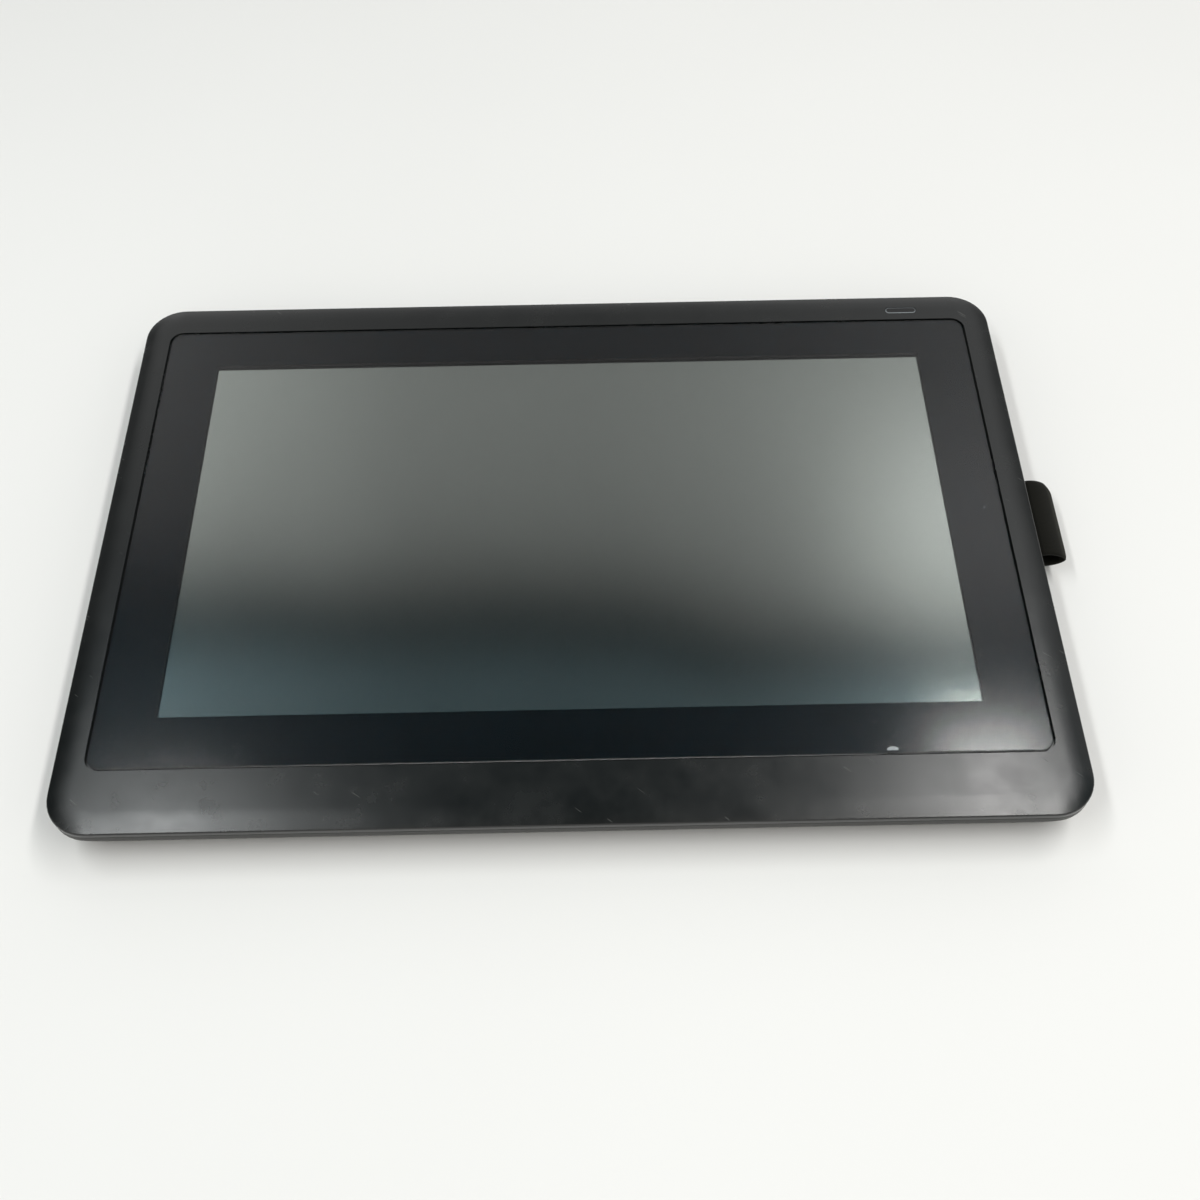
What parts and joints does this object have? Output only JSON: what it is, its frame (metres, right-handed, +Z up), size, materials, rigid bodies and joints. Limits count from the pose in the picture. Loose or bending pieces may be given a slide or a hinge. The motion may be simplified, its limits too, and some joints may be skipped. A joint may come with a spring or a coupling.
{
  "type": "pen display",
  "caption": "Graphics tablet with a screen under glass, fold-out legs in the back cover, cloth pen loop, power key and cable bay, modelled in its folded rest pose.",
  "frame": {"origin": "centre of the whole footprint, pen loop included, on the desk under the feet", "axes": "+X to the user's right along the screen's long side, +Y away from the user to the far edge, +Z up out of the screen"},
  "size_m": [0.4362, 0.2853, 0.0246],
  "materials": {
    "housing_plastic": "fine matte moulded grain",
    "bezel_plastic": "satin, finely grained",
    "front_glass": "etched anti-glare surface",
    "black_print": "flat black ink",
    "adhesive": "matt",
    "foam": "soft matt foam",
    "screen_film": "dark grey, half matt",
    "cell_glass": "dark grey glass",
    "white_film": "white, silky",
    "clear_acrylic": "clear, polished",
    "module_metal": "bright rolled sheet",
    "board": "green solder mask",
    "chip": "matt black epoxy",
    "tin_can": "tinned sheet",
    "flat_cable": "white film, half matt",
    "driver_film": "amber film",
    "chassis_metal": "rolled sheet",
    "shield_metal": "dull foil",
    "inner_plastic": "matt",
    "lamp": "pale resin",
    "light_plastic": "smoked, polished",
    "key_plastic": "satin",
    "steel": "bright zinc",
    "black_screw": "black zinc",
    "spring_steel": "bright rolled strip",
    "foot_rubber": "matt",
    "leg_plastic": "fine matte moulded grain",
    "nib_plastic": "smooth",
    "loop_cloth": "tight elastic weave"
  },
  "bodies": {
    "housing": {"back_cover": "housing_plastic", "front_bezel": "bezel_plastic", "cover_glass": "front_glass", "border_print": "black_print", "glass_tape": "adhesive", "chassis": "chassis_metal", "cable_socket": "steel", "lock_plate": "steel", "loop_socket_left": "inner_plastic", "loop_socket_right": "inner_plastic", "panel_tray": "module_metal", "reflector_sheet": "white_film", "light_bar": "white_film", "light_guide_plate": "clear_acrylic", "film_stack": "white_film", "lcd_cell": "cell_glass", "front_polariser": "screen_film", "panel_gasket": "foam", "driver_board": "board", "driver_tabs": "driver_film", "sensor_board": "board", "sensor_shield": "shield_metal", "main_board": "board", "main_board_shield": "tin_can", "main_board_chips": "chip", "controller_board": "board", "controller_chips": "chip", "panel_cable": "flat_cable", "sensor_cable": "flat_cable", "button_cable": "flat_cable", "key_board": "board", "key_board_parts": "lamp", "status_light": "light_plastic", "cover_screws": "black_screw", "chassis_screws": "steel", "board_screws": "steel", "key_board_screws": "steel", "foot_near_left": "foot_rubber", "foot_near_right": "foot_rubber", "foot_far_left": "foot_rubber", "foot_far_right": "foot_rubber", "nib_holder": "foot_rubber", "spare_nibs": "nib_plastic", "nib_puller": "steel", "left_leg_spring": "spring_steel", "right_leg_spring": "spring_steel"},
    "power_key": {"power_button": "key_plastic"},
    "pen_loop": {"pen_loop_band": "loop_cloth", "pen_loop_clip": "inner_plastic"},
    "left_leg": {"left_leg": "leg_plastic", "left_leg_pad": "foot_rubber", "left_hinge_pins": "steel"},
    "right_leg": {"right_leg": "leg_plastic", "right_leg_pad": "foot_rubber", "right_hinge_pins": "steel"}
  },
  "joints": [
    {"name": "left_leg_fold", "type": "hinge", "parent": "housing", "child": "left_leg", "pos_m": [-0.15705, 0.11202, 0.0058], "axis": [1, 0, 0], "range_deg": [0, 105]},
    {"name": "right_leg_fold", "type": "hinge", "parent": "housing", "child": "right_leg", "pos_m": [0.14295, 0.11202, 0.0058], "axis": [1, 0, 0], "range_deg": [0, 105]},
    {"name": "power_button_press", "type": "slide", "parent": "housing", "child": "power_key", "axis": [0, -1, 0], "range_m": [0, 0.0005], "stiffness_N_per_m": 2000},
    {"name": "pen_loop_pull", "type": "slide", "parent": "housing", "child": "pen_loop", "axis": [1, 0, 0], "range_m": [0, 0.014]}
  ]
}
